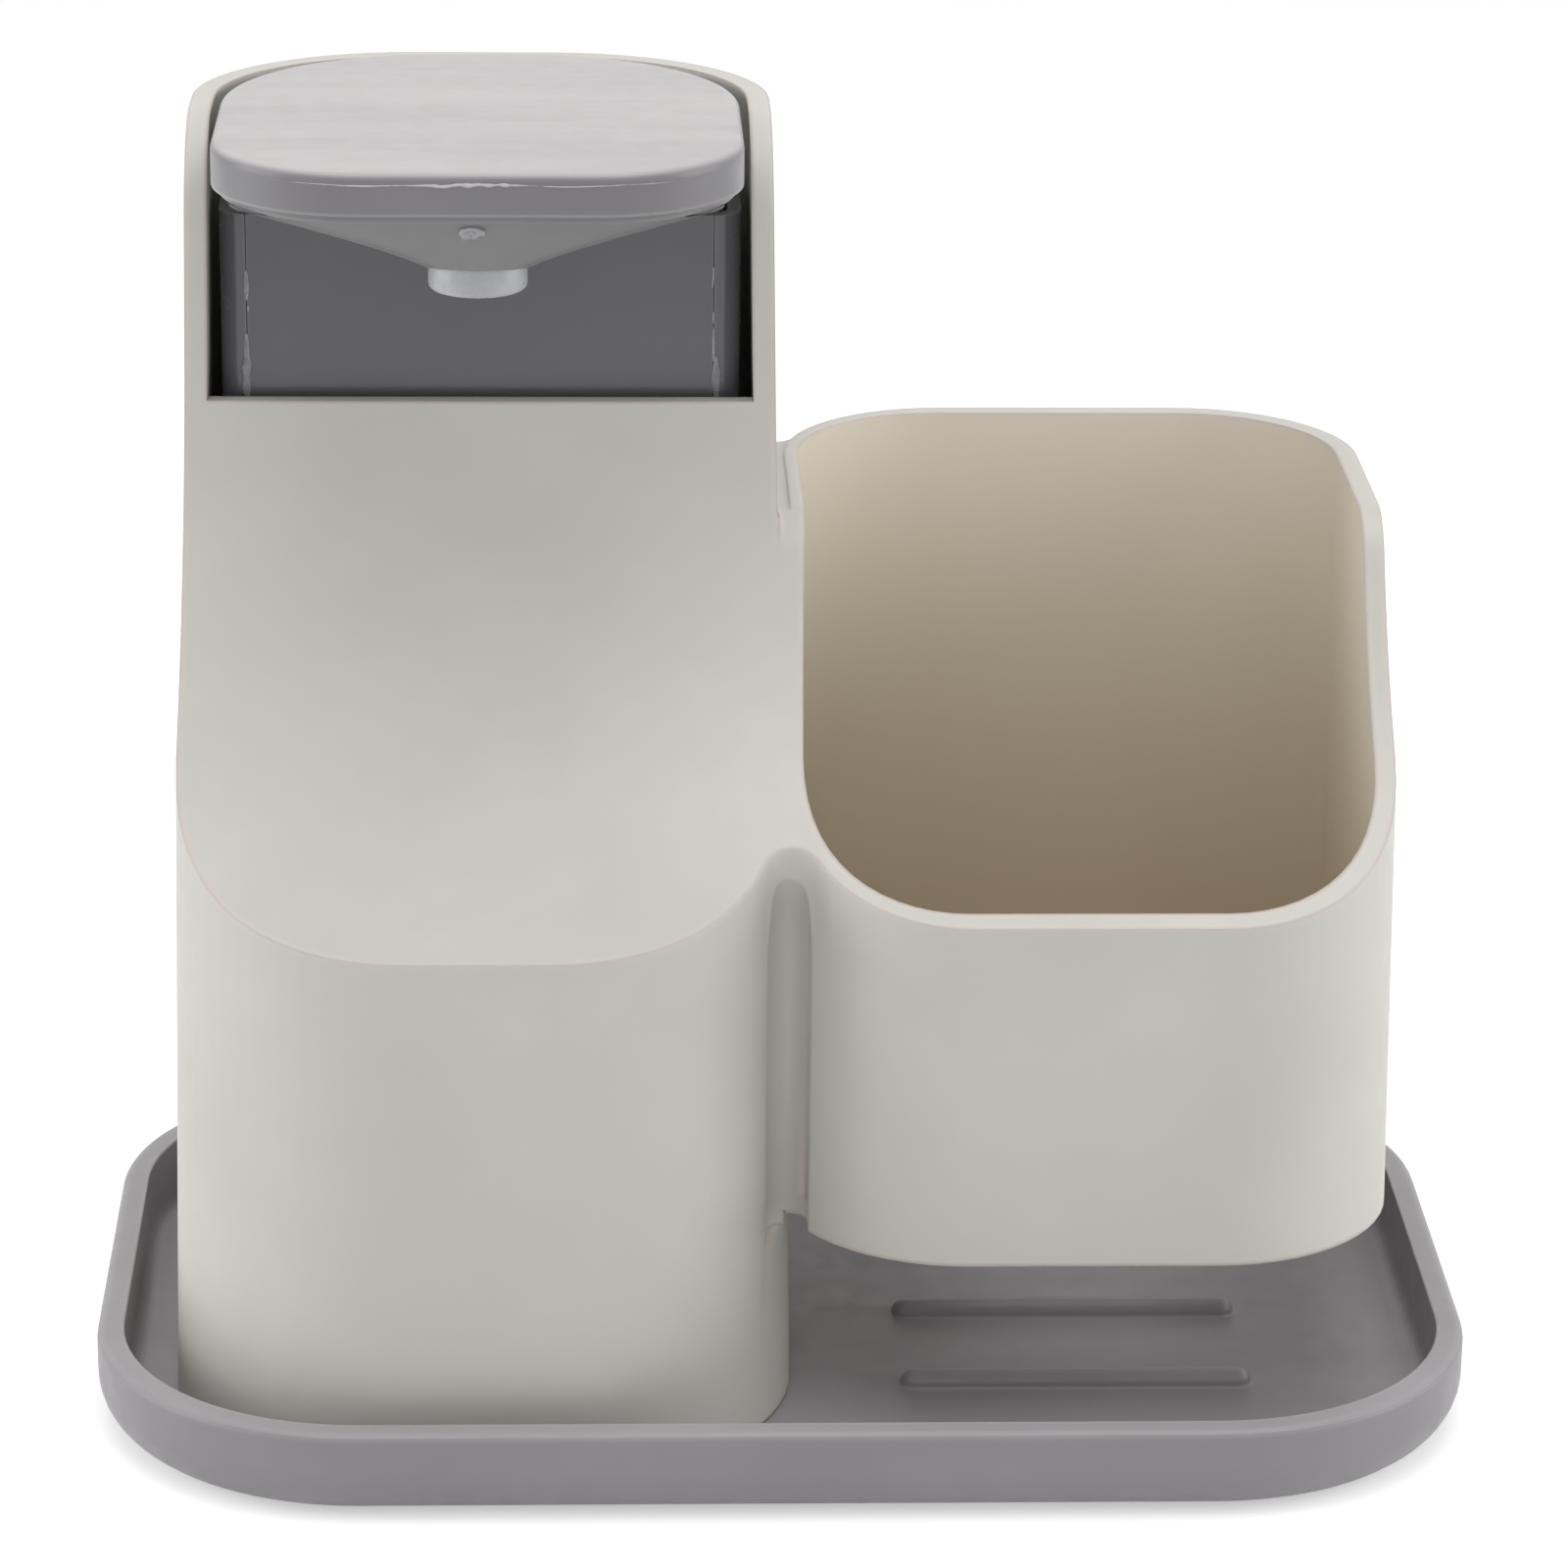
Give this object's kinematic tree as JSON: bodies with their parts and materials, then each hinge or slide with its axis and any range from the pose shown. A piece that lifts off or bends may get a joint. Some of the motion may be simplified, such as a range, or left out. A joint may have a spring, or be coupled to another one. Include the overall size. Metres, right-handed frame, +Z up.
{
  "type": "soap pump caddy",
  "caption": "Countertop caddy: drip tray, scooped tower that holds a press-plate soap pump bottle, and a hanging cup for brushes or a sponge.",
  "frame": {"origin": "on the table, under the middle of the drip tray", "axes": "+X along the tray from the pump tower to the cup, -Y to the front where the soap comes out, +Z up"},
  "size_m": [0.2, 0.1294, 0.1864],
  "materials": {
    "tray_plastic": "satin grey moulding",
    "body_plastic": "satin cream moulding",
    "bottle_plastic": "smoky dark grey, slightly glossy",
    "panel_plastic": "smoky dark grey sheet",
    "dried_glue": "dried clear glue",
    "seal_rubber": "soft white",
    "pump_plastic": "natural translucent white",
    "spring_steel": "drawn wire",
    "valve_steel": "polished ball",
    "plate_plastic": "satin pale grey moulding",
    "head_plastic": "satin grey moulding",
    "nozzle_plastic": "milky translucent tube"
  },
  "bodies": {
    "tray": {"drip_tray": "tray_plastic"},
    "caddy": {"caddy_body": "body_plastic", "base_plate": "body_plastic"},
    "bottle": {"bottle_shell": "bottle_plastic", "bottle_front_panel": "panel_plastic", "glue_seams": "dried_glue"},
    "pump": {"pump_cylinder": "pump_plastic", "guide_ring": "pump_plastic", "neck_gasket": "seal_rubber", "dip_tube": "pump_plastic", "inlet_ball": "valve_steel", "return_spring": "spring_steel"},
    "head": {"head_cover": "plate_plastic", "head_base": "head_plastic", "channel_cap": "head_plastic", "nozzle_tip": "nozzle_plastic", "pump_rod": "pump_plastic", "piston_seal": "seal_rubber", "outlet_ball": "valve_steel"},
    "collar": {"screw_collar": "bottle_plastic"}
  },
  "joints": [
    {"name": "caddy_lift", "type": "slide", "parent": "tray", "child": "caddy", "axis": [0, 0, 1], "range_m": [0, 0.04]},
    {"name": "bottle_lift", "type": "slide", "parent": "caddy", "child": "bottle", "axis": [0, 0, 1], "range_m": [0, 0.185]},
    {"name": "pump_lift", "type": "slide", "parent": "bottle", "child": "pump", "axis": [0, 0, 1], "range_m": [0, 0.165]},
    {"name": "press", "type": "slide", "parent": "pump", "child": "head", "axis": [0, 0, -1], "range_m": [0, 0.007], "stiffness_N_per_m": 400, "springref_m": -0.01, "deforming": ["return_spring"]},
    {"name": "collar_turn", "type": "hinge", "parent": "pump", "child": "collar", "pos_m": [-0.04375, 0.02643, 0.158], "axis": [0, 0, 1], "range_deg": [0, 360]}
  ]
}
